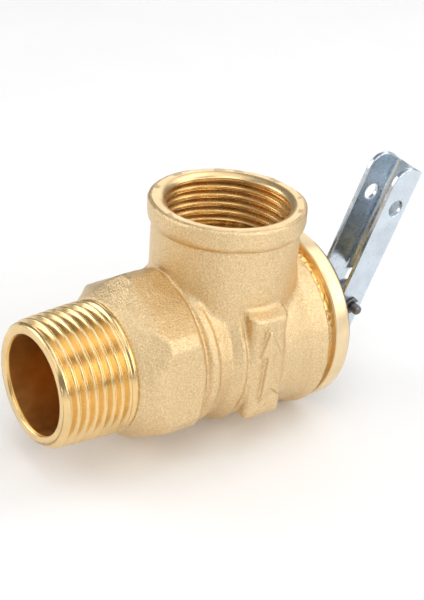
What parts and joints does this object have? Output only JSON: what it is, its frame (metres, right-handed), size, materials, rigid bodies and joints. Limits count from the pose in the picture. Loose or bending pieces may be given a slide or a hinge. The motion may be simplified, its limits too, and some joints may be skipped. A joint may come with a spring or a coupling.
{
  "type": "pressure relief valve",
  "caption": "Angle pressure relief valve with male inlet, female outlet, spring-loaded disc on a diaphragm and a swivelling test lever.",
  "frame": {"origin": "centre of the inlet's end face, on the valve axis", "axes": "+X along the valve axis from the inlet to the bonnet and lever, +Z along the outlet axis out of the outlet's mouth, +Y completes the right-handed frame"},
  "size_m": [0.0889, 0.0378, 0.0509],
  "materials": {
    "cast_brass": "shot-blasted casting with machined threads and rim",
    "turned_brass": "turned",
    "zinc_steel": "bright zinc plate",
    "dark_steel": "oiled dark steel",
    "spring_steel": "drawn wire",
    "stainless": "turned",
    "black_rubber": "moulded",
    "black_plate": "satin black"
  },
  "bodies": {
    "valve_body": {"body": "cast_brass", "bonnet": "turned_brass", "rating_plate": "black_plate", "adjusting_screw": "turned_brass", "lock_nut": "turned_brass", "stem_seal": "black_rubber", "upper_spring_plate": "stainless", "spring": "spring_steel", "slip_ring": "stainless", "diaphragm": "black_rubber"},
    "disc_assembly": {"disc_holder": "turned_brass", "seat_washer": "black_rubber", "washer_screw": "stainless", "clamp_nut": "stainless", "spring_carrier": "turned_brass"},
    "stem": {"stem": "stainless", "stem_clip": "dark_steel", "lever_pin": "dark_steel", "pin_clips": "dark_steel"},
    "lever": {"lever": "zinc_steel"}
  },
  "joints": [
    {"name": "disc_lift", "type": "slide", "parent": "valve_body", "child": "disc_assembly", "axis": [1, 0, 0], "range_m": [0, 0.00244], "stiffness_N_per_m": 6300, "springref_m": -0.0079, "deforming": ["spring", "diaphragm"]},
    {"name": "stem_swivel", "type": "hinge", "parent": "disc_assembly", "child": "stem", "pos_m": [0.0761, 0, 0], "axis": [1, 0, 0], "continuous": true},
    {"name": "lever_lift", "type": "hinge", "parent": "stem", "child": "lever", "pos_m": [0.0761, 0, 0], "axis": [0, 0.9914, 0.1305], "range_deg": [0, 70]}
  ],
  "couplings": [
    {"joint": "lever_lift", "follows": "disc_lift", "rad_per_m": 500}
  ]
}
